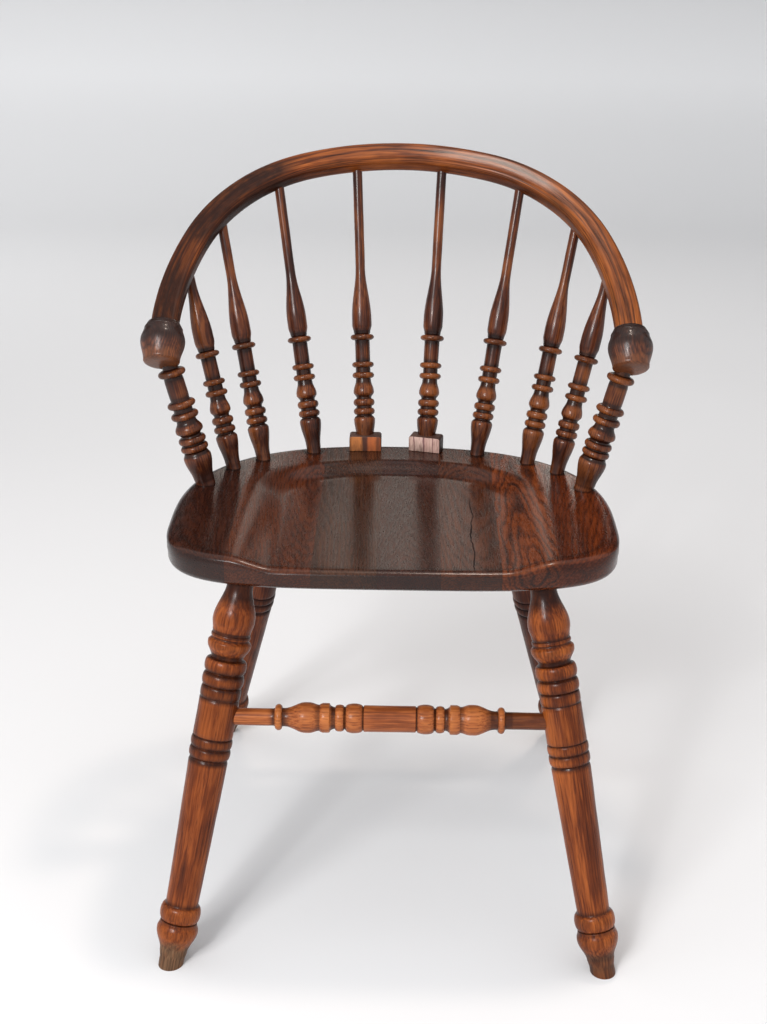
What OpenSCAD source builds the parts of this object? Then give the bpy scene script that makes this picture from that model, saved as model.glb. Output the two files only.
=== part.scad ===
// Hoop-back spindle armchair in turned and bent oak, with a saddled seat.
// X runs across the chair, Y runs to the back, Z is up.
// The origin is on the floor under the middle of the chair.

/* [Seat] */
// Height of the seat's top face above the floor
seat_h = 440; // [380:1:530]
// Thickness of the seat boards
seat_t = 33; // [26:1:45]
// Width of the seat at its widest line
seat_w = 478; // [390:1:580]
// How far the widest line lies in front of the chair's middle
seat_widest_y = 65; // [30:1:100]
// Reach of the seat behind its widest line
seat_back = 229; // [185:1:280]
// Reach of the seat in front of its widest line
seat_front = 129; // [105:1:160]
// Radius that softens the seat's edge
seat_edge_r = 9; // [2:0.5:12]
// Depth of the saddle hollow
dish_depth = 10; // [4:0.5:13]
// Width of the saddle hollow at the top
dish_w = 336; // [260:1:380]
// How far back the saddle hollow reaches from the chair's middle
dish_back = 115; // [70:1:125]
// Width of the slope around the saddle hollow
dish_slope = 45; // [20:1:60]

/* [Seat boards] */
// Seam between boards 1 and 2
seam_1 = -170; // [-178:1:-150]
// Seam between boards 2 and 3
seam_2 = -82; // [-110:1:-60]
// Seam between boards 3 and 4
seam_3 = -15; // [-40:1:10]
// Seam between boards 4 and 5
seam_4 = 50; // [30:1:70]
// Seam between boards 5 and 6
seam_5 = 112; // [90:1:118]
// Seam between boards 6 and 7
seam_6 = 170; // [150:1:178]

/* [Joints] */
// Radial clearance of every tenon in its socket
fit = 0.1; // [0.05:0.05:0.4]
// Free space between a tenon's end and the socket's floor
end_gap = 0.5; // [0.2:0.1:2]
// Wood left over a socket in the seat
socket_floor = 14; // [11:0.5:18]

/* [Legs] */
// Inset of the front legs from the seat's rim
front_leg_inset = 30; // [22:1:45]
// Place of the front legs round the rim, from the side
front_leg_turn = 56.6; // [45:0.1:65]
// How far a front foot stands out sideways from its top
front_splay_x = 75; // [40:1:90]
// How far a front foot stands forward of its top
front_splay_y = 104.5; // [60:0.5:120]
// Inset of the back legs from the seat's rim
back_leg_inset = 26; // [22:1:45]
// Place of the back legs round the rim, from the side
back_leg_turn = 57.3; // [45:0.1:65]
// How far a back foot stands out sideways from its top
back_splay_x = 95; // [50:1:110]
// How far a back foot stands behind its top
back_splay_y = 132; // [80:1:150]
// Radius of the leg's tenon in the seat
leg_tenon_r = 13; // [10:0.5:15]
// Radius of the leg's turned rings
leg_ring_r = 22; // [19:0.5:26]
// Radius of the leg's plain drum, where the stretcher enters
leg_drum_r = 21; // [18:0.5:25]
// Radius of the leg's neck above the rings
leg_neck_r = 16.6; // [14:0.1:18]
// Radius of the leg's shaft above the ankle
leg_ankle_r = 17.2; // [14:0.1:20]
// Radius of the foot's bulb
leg_foot_r = 22; // [18:0.5:26]
// Radius of the worn foot tip
leg_tip_r = 13; // [10:0.5:15]

/* [Stretchers] */
// Distance of the stretchers down the leg's axis
stretcher_station = 151; // [140:1:165]
// Largest radius of the front stretcher
stretcher_r = 16; // [13:0.5:19]
// Radius of the stretchers' ends and tenons
stretcher_end_r = 9; // [7:0.5:11]
// How far a stretcher's tenon stops short of the leg's axis
stretcher_short = 3; // [2:0.5:8]
// Largest radius of the plain back stretcher
back_stretcher_r = 12.5; // [10:0.5:16]

/* [Bow] */
// Tilt of the bow's plane from the horizontal
bow_tilt = 38.3; // [30:0.1:50]
// Height of the hand knobs' centres over the seat
arm_rise = 159; // [130:1:190]
// How far the hand knobs' centres lie behind the chair's middle
arm_y = 39.6; // [20:0.1:60]
// Reach of the bow's crown from the knobs, in its plane
bow_reach = 274.2; // [225:0.1:330]
// Bend radius over the crown
crown_r = 367; // [300:1:440]
// Bend radius at the shoulders
shoulder_r = 193.5; // [160:0.5:220]
// Bend radius along the arms
arm_r = 355; // [290:1:430]
// Width of the bow's bar in its plane
bow_w = 30; // [24:0.5:36]
// Thickness of the bow's bar
bow_t = 22; // [18:0.5:27]
// Radius of the bar's rounded corners
bow_corner_r = 7; // [3:0.5:8]

/* [Hand knobs] */
// Length of a hand knob along the arm
knob_len = 48; // [40:1:58]
// Largest radius of a hand knob
knob_r = 23.5; // [19:0.5:28]
// Radius of a hand knob where the bow meets it
knob_neck_r = 17.5; // [16:0.5:20]
// Radius of the bow's tenon in the knob
bow_tenon_r = 9; // [6:0.5:10]
// Length of the bow's tenon in the knob
bow_tenon_len = 20; // [12:1:22]

/* [Arm posts] */
// Inset of posts and spindles from the seat's rim
post_inset = 15; // [13:1:22]
// Place of the arm posts round the rim, from the side
post_turn = 20; // [12:1:26]
// Radius of a post's foot and tenon
post_foot_r = 11; // [9:0.5:12]
// Radius of a post's rings
post_ring_r = 15.7; // [13:0.1:18]
// Radius of a post's tenon in the knob
post_top_r = 9; // [7:0.5:10]
// How far a post's tenon stops short of the knob's centre
post_short = 15; // [12:1:18]

/* [Spindles] */
// Place round the rim of the outermost spindles
turn_1 = 37.4; // [32:0.1:44]
// Place round the rim of the second spindles
turn_2 = 51.3; // [47:0.1:58]
// Place round the rim of the third spindles
turn_3 = 69.9; // [62:0.1:74]
// Place round the rim of the middle spindles
turn_4 = 84.4; // [79:0.1:86]
// Place of the outermost spindles round the bow, from its crown
bow_turn_1 = 72.7; // [68:0.1:78]
// Place of the second spindles round the bow
bow_turn_2 = 53.9; // [45:0.1:60]
// Place of the third spindles round the bow
bow_turn_3 = 28.5; // [20:0.1:35]
// Place of the middle spindles round the bow
bow_turn_4 = 7.9; // [6:0.1:12]
// Radius of a spindle's foot and tenon
spindle_foot_r = 8.3; // [6:0.1:9]
// Radius of a spindle's rings
spindle_ring_r = 12.6; // [10:0.1:14]
// Radius of a spindle's slender top
spindle_top_r = 5.6; // [4:0.1:7]

/* [Repair blocks] */
// Width of a block
block_w = 38; // [30:1:44]
// Depth of a block
block_d = 19; // [18:1:28]
// Height of a block
block_h = 18.5; // [16:0.5:30]
// Radius of a block's rounded top corners
block_r = 3; // [1:0.5:5]
// How far the right-hand block is turned
block_turn = 15; // [0:1:20]
// Length of the middle spindles' tenons in the blocks
block_tenon = 12; // [8:1:15]
// Radius of the middle spindles' tenons in the blocks
block_tenon_r = 7; // [5:0.1:8]

/* [Hidden] */
$fn = 48;

oak_red = [0.33, 0.15, 0.08];
oak_dark = [0.24, 0.12, 0.08];
oak_warm = [0.55, 0.30, 0.16];
oak_worn = [0.62, 0.36, 0.20];
oak_pale = [0.76, 0.62, 0.54];
seat_under = seat_h - seat_t;
big = 1000;
// The least wall between two sockets, and the shortest post with room for its whole pattern.
socket_wall = 2;
post_reach = 165;

// The seat's outline: two different superellipse halves that share the widest line.
back_power = 2.55;
front_power = 4;
function spow(v, p) = sign(v) * pow(abs(v), p);
function rim_x(t, inset, power) = (seat_w / 2 - inset) * spow(cos(t), 2 / power);
function rim_back(t, inset) =
    [rim_x(t, inset, back_power),
     (seat_back - inset) * spow(sin(t), 2 / back_power) - seat_widest_y];
function rim_front(t, inset) =
    [rim_x(t, inset, front_power),
     -(seat_front - inset) * spow(sin(t), 2 / front_power) - seat_widest_y];
function outline(inset) =
    concat([for (i = [0:36]) rim_back(i * 5, inset)],
           [for (i = [35:-1:1]) rim_front(i * 5, inset)]);

// The saddle hollow's outline at a level, drawn in by p; it runs out through the front edge.
dish_bend = 105;
function dish_outline(p) =
    concat([[dish_w / 2 - p, -big]],
           [for (i = [0:24]) let (t = i * 7.5)
               [(dish_w / 2 - p) * spow(cos(t), 0.9),
                dish_back - dish_bend + (dish_bend - p) * spow(sin(t), 0.9)]],
           [[p - dish_w / 2, -big]]);

// Points of turned profiles, each [radius, station].
// A bead is half an ellipse between two grooves.
function bead(s0, s1, edge, top) =
    [for (i = [0:6]) [edge + (top - edge) * sin(30 * i), (s0 + s1) / 2 - (s1 - s0) / 2 * cos(30 * i)]];
// A sweep is a smooth change of radius that starts and ends parallel to the axis.
function sweep(s0, r0, s1, r1) =
    [for (i = [0:5]) [r0 + (r1 - r0) * (1 - cos(36 * i)) / 2, s0 + (s1 - s0) * i / 5]];

// Ends of the slanting pieces.
function pt(p, z) = [p[0], p[1], z];
function lean(a, b) = acos((b - a)[2] / norm(b - a));
front_top = pt(rim_front(front_leg_turn, front_leg_inset), seat_under);
front_foot = [front_top[0] + front_splay_x, front_top[1] - front_splay_y, 0];
// A back leg's tenon keeps a wall of seat between itself and the second spindle's.
back_leg_at = rim_back(back_leg_turn, back_leg_inset);
back_leg_away = back_leg_at - rim_back(turn_2, post_inset);
back_leg_clear = max(0, leg_tenon_r + spindle_foot_r + socket_wall - norm(back_leg_away));
back_top = pt(back_leg_at + back_leg_away / norm(back_leg_away) * back_leg_clear, seat_under);
back_foot = [back_top[0] + back_splay_x, back_top[1] + back_splay_y, 0];
function leg_tenon(top, foot) = (seat_t - socket_floor) / abs(cos(lean(top, foot)));
function down(top, foot, s) = top + (foot - top) * s / norm(foot - top);
front_joint = down(front_top, front_foot, stretcher_station);
back_joint = down(back_top, back_foot, stretcher_station);

// The bow lies in one tilted plane: three bends on each side, tangent to each other.
crown_turn = 17;
shoulder_turn = 67;
function ray(t) = [sin(t), cos(t)];
crown_c = [0, bow_reach - crown_r];
shoulder_c = crown_c + (crown_r - shoulder_r) * ray(crown_turn);
arm_c = shoulder_c + (shoulder_r - arm_r) * ray(shoulder_turn);
function bow_flat(t) =
    t < crown_turn ? crown_c + crown_r * ray(t) :
    t < shoulder_turn ? shoulder_c + shoulder_r * ray(t) : arm_c + arm_r * ray(t);
bow_z = seat_h + arm_rise;
function bow_point(t) = let (q = bow_flat(t))
    [q[0], arm_y + q[1] * cos(bow_tilt), bow_z + q[1] * sin(bow_tilt)];
knob_x = arm_c[0] + arm_r;
knob_at = [knob_x, arm_y, bow_z];

// Feet and tops of posts and spindles.
post_foot = pt(rim_back(post_turn, post_inset), seat_h);
turns = [turn_1, turn_2, turn_3, turn_4];
bow_turns = [bow_turn_1, bow_turn_2, bow_turn_3, bow_turn_4];
function spindle_foot(i) = pt(rim_back(turns[i], post_inset), seat_h);
function spindle_top(i) = bow_point(bow_turns[i]);
function seat_tenon(a, b) = (seat_t - socket_floor) / cos(lean(a, b));
block_side = spindle_foot(3)[0];
block_back = spindle_foot(3)[1] + 0.5;

// Puts the children's Z axis on the line from a to b, starting at a.
module along(a, b) {
    d = b - a;
    translate(a) rotate([0, lean(a, b), atan2(d[1], d[0])]) children();
}

module turned(points) {
    rotate_extrude() polygon(points);
}

module tenon_hole(r, s0, s1) {
    translate([0, 0, s0]) cylinder(r = r + fit, h = s1 - s0);
}

module under_plane(z) {
    translate([-big, -big, z - big]) cube([2 * big, 2 * big, big]);
}

// A closed skin over rings of points, listed from the first ring to the last.
module lofted(rings) {
    n = len(rings[0]);
    m = len(rings);
    points = [for (ring = rings) for (p = ring) p];
    sides = [for (j = [0:m - 2]) for (i = [0:n - 1]) let (a = j * n + i, b = j * n + (i + 1) % n)
                each [[a, b + n, b], [a, a + n, b + n]]];
    polyhedron(points, concat(sides, [[for (i = [0:n - 1]) i], [for (i = [n - 1:-1:0]) (m - 1) * n + i]]));
}

module pair(side) {
    if (side > 0) children();
    else mirror([1, 0, 0]) children();
}

// ---- seat ----

// Rounded over at the edge: outlines at six levels, drawn in by these insets.
module seat_blank() {
    r = seat_edge_r;
    levels = [[seat_under, r * 0.9], [seat_under + r * 0.4, r * 0.3], [seat_under + r, 0],
              [seat_h - r, 0], [seat_h - r * 0.4, r * 0.3], [seat_h, r]];
    lofted([for (v = levels) [for (p = outline(v[1])) pt(p, v[0])]]);
}

// The slope carries on a little above the seat, so that the rim is cut cleanly.
module dish() {
    over = 2;
    rise = dish_slope * over / dish_depth;
    levels = [[seat_h - dish_depth, dish_slope], [seat_h + over, -rise]];
    lofted([for (v = levels) [for (p = dish_outline(v[1])) pt(p, v[0])]]);
}

module seat_sockets() {
    for (side = [-1, 1]) pair(side) {
        t_f = leg_tenon(front_top, front_foot);
        t_b = leg_tenon(back_top, back_foot);
        along(front_top, front_foot) tenon_hole(leg_tenon_r, -t_f - end_gap, 12);
        along(back_top, back_foot) tenon_hole(leg_tenon_r, -t_b - end_gap, 12);
        t_p = seat_tenon(post_foot, knob_at);
        along(post_foot, knob_at) tenon_hole(post_foot_r, -t_p - end_gap, 12);
        for (i = [0:2]) {
            a = spindle_foot(i);
            b = spindle_top(i);
            along(a, b) tenon_hole(spindle_foot_r, -seat_tenon(a, b) - end_gap, 12);
        }
    }
}

module seat_board(x0, x1, tint) {
    color(tint) difference() {
        intersection() {
            seat_blank();
            translate([x0, -big, 0]) cube([x1 - x0, 2 * big, big]);
        }
        dish();
        seat_sockets();
    }
}

module seat_board_1() { seat_board(-seat_w, seam_1, oak_dark); }
module seat_board_2() { seat_board(seam_1, seam_2, oak_dark); }
module seat_board_3() { seat_board(seam_2, seam_3, oak_red); }
module seat_board_4() { seat_board(seam_3, seam_4, oak_dark); }
module seat_board_5() { seat_board(seam_4, seam_5, oak_red); }
module seat_board_6() { seat_board(seam_5, seam_6, oak_warm); }
module seat_board_7() { seat_board(seam_6, seat_w, oak_warm); }

// ---- legs ----

// Station 0 is the seat's underside; the ankle and foot are placed from the floor end.
function leg_profile(top, foot) = let (n = norm(foot - top), c = leg_drum_r, g = leg_ring_r - 2.4)
    concat([[0, -leg_tenon(top, foot)], [leg_tenon_r, -leg_tenon(top, foot)], [leg_tenon_r, 6]],
           sweep(9, leg_tenon_r + 0.6, 46, leg_ring_r),
           sweep(47, leg_ring_r, 59, leg_ring_r - 2),
           [[g, 61]],
           bead(61.5, 65.5, g, leg_ring_r - 1.4),
           sweep(66, g, 71, leg_ring_r + 0.8),
           sweep(73, leg_ring_r + 0.6, 87.5, leg_neck_r),
           bead(88.5, 103, g - 0.6, leg_ring_r),
           bead(104, 117.3, g, leg_ring_r),
           bead(118.2, 130, c - 0.6, leg_ring_r - 0.8),
           [[c - 0.6, 130.8], [c, 131.5], [c, 171.5], [c - 0.8, 172.2]],
           bead(172.8, 183.5, c - 0.6, leg_ring_r - 0.2),
           bead(184.3, 195, c - 0.6, leg_ring_r - 0.2),
           [[c - 1.5, 196.2], [c - 0.2, 200], [c - 0.7, 215], [leg_ankle_r, n - 69]],
           bead(n - 67.5, n - 50, leg_ankle_r + 1, leg_foot_r - 0.3),
           [[leg_foot_r - 2.4, n - 49]],
           sweep(n - 48.5, leg_foot_r - 2.2, n - 40.5, leg_foot_r),
           sweep(n - 39.5, leg_foot_r, n - 16, leg_tip_r + 1.6),
           [[leg_tip_r, n - 8], [leg_tip_r, n + 12], [0, n + 12]]);

module leg(top, foot, joint) {
    color(oak_warm) difference() {
        along(top, foot) turned(leg_profile(top, foot));
        under_plane(0);
        translate(joint) rotate([0, -90, 0]) tenon_hole(stretcher_end_r, stretcher_short - end_gap, 60);
    }
}

module leg_front_left() { pair(-1) leg(front_top, front_foot, front_joint); }
module leg_front_right() { pair(1) leg(front_top, front_foot, front_joint); }
module leg_back_left() { pair(-1) leg(back_top, back_foot, back_joint); }
module leg_back_right() { pair(1) leg(back_top, back_foot, back_joint); }

// ---- stretchers ----

// Half of the front stretcher, from the middle out to the tenon's end.
function stretcher_half(len) = let (e = stretcher_end_r, r = stretcher_r)
    concat([[0, 0], [r - 2.2, 0], [r - 2.2, 26.7], [r - 3.6, 27.6]],
           bead(28.2, 46, r - 3.6, r - 0.5),
           bead(47.5, 57.2, r - 4.5, r - 1.8),
           [[r - 4.6, 58], [r - 3.2, 62], [r - 0.5, 63], [r - 0.5, 70], [r - 1.6, 73]],
           sweep(73.4, r - 2.4, 84, r),
           sweep(88, r, 110, e + 0.6),
           bead(112.2, 120, e + 0.8, r - 2.2),
           [[e, 121.5], [e, len], [0, len]]);

module stretcher_front() {
    len = front_joint[0] - stretcher_short;
    color(oak_warm) translate([0, front_joint[1], front_joint[2]]) union() {
        rotate([0, 90, 0]) turned(stretcher_half(len));
        rotate([0, -90, 0]) turned(stretcher_half(len));
    }
}

module stretcher_back() {
    e = stretcher_end_r;
    len = back_joint[0] - stretcher_short;
    side = sweep(back_joint[0] - 35, e, 20, back_stretcher_r);
    color(oak_warm) translate([0, back_joint[1], back_joint[2]]) rotate([0, 90, 0])
        turned(concat([[0, -len], [e, -len]], [for (p = side) [p[0], -p[1]]],
                      [for (i = [5:-1:0]) side[i]], [[e, len], [0, len]]));
}

// ---- bow ----

// A rounded bar, wide in the bow's plane, drawn about its own middle.
function bar_corner(x, y, a) =
    [for (i = [0:3]) [x + bow_corner_r * cos(a + 30 * i), y + bow_corner_r * sin(a + 30 * i)]];
function bar_section() = let (x = bow_w / 2 - bow_corner_r, y = bow_t / 2 - bow_corner_r)
    concat(bar_corner(x, y, 0), bar_corner(-x, y, 90), bar_corner(-x, -y, 180), bar_corner(x, -y, 270));

// The section set square across the bow at a turning angle, in the bow's plane.
function bar_ring(t) = let (q = bow_flat(abs(t)), m = [sign(t) * q[0], q[1]])
    [for (p = bar_section()) pt(m + p[0] * ray(t), p[1])];

module in_bow_plane() {
    translate([0, arm_y, bow_z]) rotate([bow_tilt, 0, 0]) children();
}

// The bar stops square on the knobs' faces, and a round tenon runs on into each knob.
module bow_bar() {
    difference() {
        lofted([for (i = [0:45]) bar_ring(i * 4 - 90)]);
        translate([-big, knob_len / 2 - big, -big]) cube([2 * big, big, 2 * big]);
    }
    for (side = [-1, 1]) translate([side * knob_x, knob_len / 2 + 5, 0]) rotate([90, 0, 0])
        cylinder(r = bow_tenon_r, h = bow_tenon_len + 5);
}

module bow() {
    color(oak_worn) difference() {
        in_bow_plane() bow_bar();
        for (side = [-1, 1]) pair(side) for (i = [0:3])
            along(spindle_top(i), spindle_foot(i)) tenon_hole(spindle_top_r, -end_gap, 50);
    }
}

// ---- hand knobs ----

function knob_profile() = let (l = knob_len, r = knob_r, n = knob_neck_r)
    concat([[0, 0], [n, 0]],
           sweep(2, n, l * 0.52, r),
           sweep(l * 0.56, r, l - 4, n + 1.2),
           [[n, l - 2.2], [n - 2, l - 0.8], [n - 5.5, l], [0, l]]);

module hand_knob() {
    color(oak_worn) difference() {
        in_bow_plane() translate([knob_x, knob_len / 2, 0]) rotate([90, 0, 0]) difference() {
            turned(knob_profile());
            tenon_hole(bow_tenon_r, -5, bow_tenon_len + end_gap);
        }
        along(knob_at, post_foot) tenon_hole(post_top_r, post_short - end_gap, 50);
    }
}

module hand_knob_left() { pair(-1) hand_knob(); }
module hand_knob_right() { pair(1) hand_knob(); }

// ---- arm posts ----

// The pattern above a post's plain neck moves down where the post is shorter than it needs.
function post_profile(n, tenon) = let (r = post_ring_r, f = post_foot_r, d = min(0, n - post_reach))
    concat([[0, -tenon], [f, -tenon], [f, 4]],
           sweep(6, f + 0.4, 31, r),
           sweep(32, r, 38, r - 2.4),
           bead(39, 47, r - 4, r),
           bead(48, 56.5, r - 4, r),
           sweep(57.5, r - 4.6, 63.5, r),
           sweep(65, r, 75, f + 0.2),
           bead(77, 85.5, f, r),
           [[f - 0.2, 86.5], [f - 0.2, 89.5]],
           bead(90.2, 98.5, f, r + 0.3),
           [[f - 0.3, 99.5], [f, 104], [f, 122 + d], [f - 0.4, 126 + d]],
           bead(127 + d, 135 + d, f, r),
           [[post_top_r, 136.2 + d], [post_top_r, n - post_short], [0, n - post_short]]);

module arm_post() {
    color(oak_warm) along(post_foot, knob_at)
        turned(post_profile(norm(knob_at - post_foot), seat_tenon(post_foot, knob_at)));
}

module arm_post_left() { pair(-1) arm_post(); }
module arm_post_right() { pair(1) arm_post(); }

// ---- spindles ----

// The turned part keeps its place over the seat; only the slender top differs in length.
function spindle_turning(n) = let (f = spindle_foot_r, r = spindle_ring_r)
    concat([[f, 3]],
           sweep(5, f + 0.3, 36, r),
           [[r - 1.4, 38.6], [r - 3.3, 40]],
           bead(41, 49, r - 3.3, r),
           [[r - 3.3, 50.2]],
           bead(51.4, 60, r - 3.3, r),
           sweep(61, r - 3.8, 67.5, r - 0.5),
           sweep(68.5, r - 0.5, 82.5, f + 0.6),
           bead(84.2, 91.6, f + 0.4, r + 0.4),
           [[f + 0.4, 93], [f + 0.4, 96]],
           bead(97, 104, f + 0.4, r + 0.4),
           [[f + 0.5, 105.5], [f + 0.5, 128]],
           bead(129.4, 136.6, f + 0.6, r + 1.4),
           sweep(138, f + 1.4, 148, r - 1.1),
           sweep(156, r - 1.1, 216, spindle_top_r),
           [[spindle_top_r, n], [0, n]]);

module spindle(i) {
    a = spindle_foot(i);
    b = spindle_top(i);
    t = seat_tenon(a, b);
    color(oak_red) along(a, b)
        turned(concat([[0, -t], [spindle_foot_r, -t]], spindle_turning(norm(b - a))));
}

// A middle spindle is cut off level with the block and pegged into it.
module short_spindle() {
    a = spindle_foot(3);
    b = spindle_top(3);
    s = block_h / cos(lean(a, b));
    color(oak_red) union() {
        difference() {
            along(a, b) turned(concat([[0, 0], [spindle_foot_r, 0]], spindle_turning(norm(b - a))));
            under_plane(seat_h + block_h);
        }
        along(a, b) translate([0, 0, s - block_tenon]) cylinder(r = block_tenon_r, h = block_tenon + 5);
    }
}

module spindle_1() { pair(-1) spindle(0); }
module spindle_2() { pair(-1) spindle(1); }
module spindle_3() { pair(-1) spindle(2); }
module spindle_4() { pair(-1) short_spindle(); }
module spindle_5() { pair(1) short_spindle(); }
module spindle_6() { pair(1) spindle(2); }
module spindle_7() { pair(1) spindle(1); }
module spindle_8() { pair(1) spindle(0); }

// ---- repair blocks ----

// Drawn in front view, with rounded top corners, and pushed back through its depth.
module block_blank(turn) {
    w = block_w / 2;
    q = w - block_r;
    h = block_h - block_r;
    face = concat([[-w, 0], [w, 0]],
                  [for (i = [0:3]) [q + block_r * cos(30 * i), h + block_r * sin(30 * i)]],
                  [for (i = [3:-1:0]) [-q - block_r * cos(30 * i), h + block_r * sin(30 * i)]]);
    translate([block_side, block_back, seat_h]) rotate([0, 0, -turn]) translate([0, block_d / 2, 0])
        rotate([90, 0, 0]) linear_extrude(block_d) polygon(face);
}

module repair_block(turn) {
    a = spindle_foot(3);
    b = spindle_top(3);
    s = block_h / cos(lean(a, b));
    difference() {
        block_blank(turn);
        along(a, b) tenon_hole(block_tenon_r, s - block_tenon - end_gap, s + 20);
    }
}

module repair_block_left() { color(oak_worn) pair(-1) repair_block(0); }
module repair_block_right() { color(oak_pale) pair(1) repair_block(block_turn); }

seat_board_1();
seat_board_2();
seat_board_3();
seat_board_4();
seat_board_5();
seat_board_6();
seat_board_7();
bow();
hand_knob_left();
hand_knob_right();
arm_post_left();
arm_post_right();
spindle_1();
spindle_2();
spindle_3();
spindle_4();
spindle_5();
spindle_6();
spindle_7();
spindle_8();
repair_block_left();
repair_block_right();
leg_front_left();
leg_front_right();
leg_back_left();
leg_back_right();
stretcher_front();
stretcher_back();
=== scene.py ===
import bpy, bmesh, math
from mathutils import Matrix, Vector, noise


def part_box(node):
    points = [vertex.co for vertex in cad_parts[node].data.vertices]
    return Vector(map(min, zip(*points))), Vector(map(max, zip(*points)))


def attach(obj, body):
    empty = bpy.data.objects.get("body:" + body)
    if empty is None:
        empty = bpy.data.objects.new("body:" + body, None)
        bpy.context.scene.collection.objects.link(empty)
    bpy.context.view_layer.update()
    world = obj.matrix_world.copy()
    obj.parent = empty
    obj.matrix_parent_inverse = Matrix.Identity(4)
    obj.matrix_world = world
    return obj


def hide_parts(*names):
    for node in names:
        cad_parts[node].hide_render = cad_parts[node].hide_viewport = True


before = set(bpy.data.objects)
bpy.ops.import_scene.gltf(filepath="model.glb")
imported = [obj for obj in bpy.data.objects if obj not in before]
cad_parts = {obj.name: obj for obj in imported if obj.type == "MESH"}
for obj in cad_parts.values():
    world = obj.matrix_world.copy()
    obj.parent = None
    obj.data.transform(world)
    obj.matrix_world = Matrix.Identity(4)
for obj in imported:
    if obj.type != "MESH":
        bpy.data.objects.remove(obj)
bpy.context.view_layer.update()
mm = 0.001


# ---- Seat ----
# Seven oak boards, glued edge to edge, sawn to a rounded outline and hollowed by hand into a
# shallow saddle that runs out through the front edge. Dark stain under old gloss varnish.

seat_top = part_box("seat_board_1")[1].z / mm
seat_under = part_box("seat_board_1")[0].z / mm
seat_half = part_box("seat_board_7")[1].x / mm
widest_y = -65
back_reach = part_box("seat_board_4")[1].y / mm - widest_y
front_reach = widest_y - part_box("seat_board_4")[0].y / mm
back_bend, front_bend = 2 / 2.55, 2 / 4
hollow_half, hollow_back = 168, 105
hollow_turn_y = 10
hollow_floor = 10
hollow_bend = 2.2
hollow_slope = 150 / 46


def power(value, exponent):
    return math.copysign(abs(value) ** exponent, value)


def rim(turn, inset=0.0):
    """A point of the seat's outline, drawn in by inset, at a turn in radians from the side."""
    behind = math.sin(turn) > 0
    bend = back_bend if behind else front_bend
    reach = back_reach if behind else front_reach
    return ((seat_half - inset) * power(math.cos(turn), bend),
            (reach - inset) * power(math.sin(turn), bend) + widest_y)


def ease(value):
    """Goes smoothly from 0 to 1 as value does, and no further."""
    value = min(max(value, 0.0), 1.0)
    return value * value * (3 - 2 * value)


def hollow_depth(x, y):
    """Depth of the carved saddle, which is round at the back and runs straight out in front."""
    reach = max(y - hollow_turn_y, 0) / hollow_back
    across = abs(x) / hollow_half
    near = (across ** hollow_bend + reach ** hollow_bend) ** (1 / hollow_bend)
    return hollow_floor * ease((1 - near) * hollow_slope)


def link(tree, kind, values=(), out=0, **settings):
    """Adds a shader node, sets or links its inputs by place or name, and gives one output."""
    made = tree.nodes.new("ShaderNode" + kind)
    for key, value in settings.items():
        setattr(made, key, value)
    for key, value in (values.items() if isinstance(values, dict) else enumerate(values)):
        if isinstance(value, bpy.types.NodeSocket):
            tree.links.new(value, made.inputs[key])
        elif value is not None:
            made.inputs[key].default_value = value
    return made.outputs[out]


def sums(tree, what, a, b, limit=False):
    return link(tree, "Math", [a, b], operation=what, use_clamp=limit)


def add(tree, a, b, limit=False):
    return sums(tree, "ADD", a, b, limit)


def times(tree, a, b, limit=False):
    return sums(tree, "MULTIPLY", a, b, limit)


def blend_colour(tree, amount, a, b):
    return link(tree, "Mix", {0: amount, 6: a, 7: b}, out=2, data_type="RGBA")


def span(tree, value, low, high, to_low=0.0, to_high=1.0):
    """Maps low..high to to_low..to_high and stops at both ends."""
    return link(tree, "MapRange", [value, low, high, to_low, to_high], clamp=True)


def grainy(tree, place, across, along, detail=3.0, rough=0.55):
    """Noise drawn out along the grain: features per metre across it and along it."""
    stretched = link(tree, "VectorMath", [place, (across, across, along)], operation="MULTIPLY")
    return link(tree, "TexNoise", {"Vector": stretched, "Scale": 1.0, "Detail": detail,
                                   "Roughness": rough})


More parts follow.
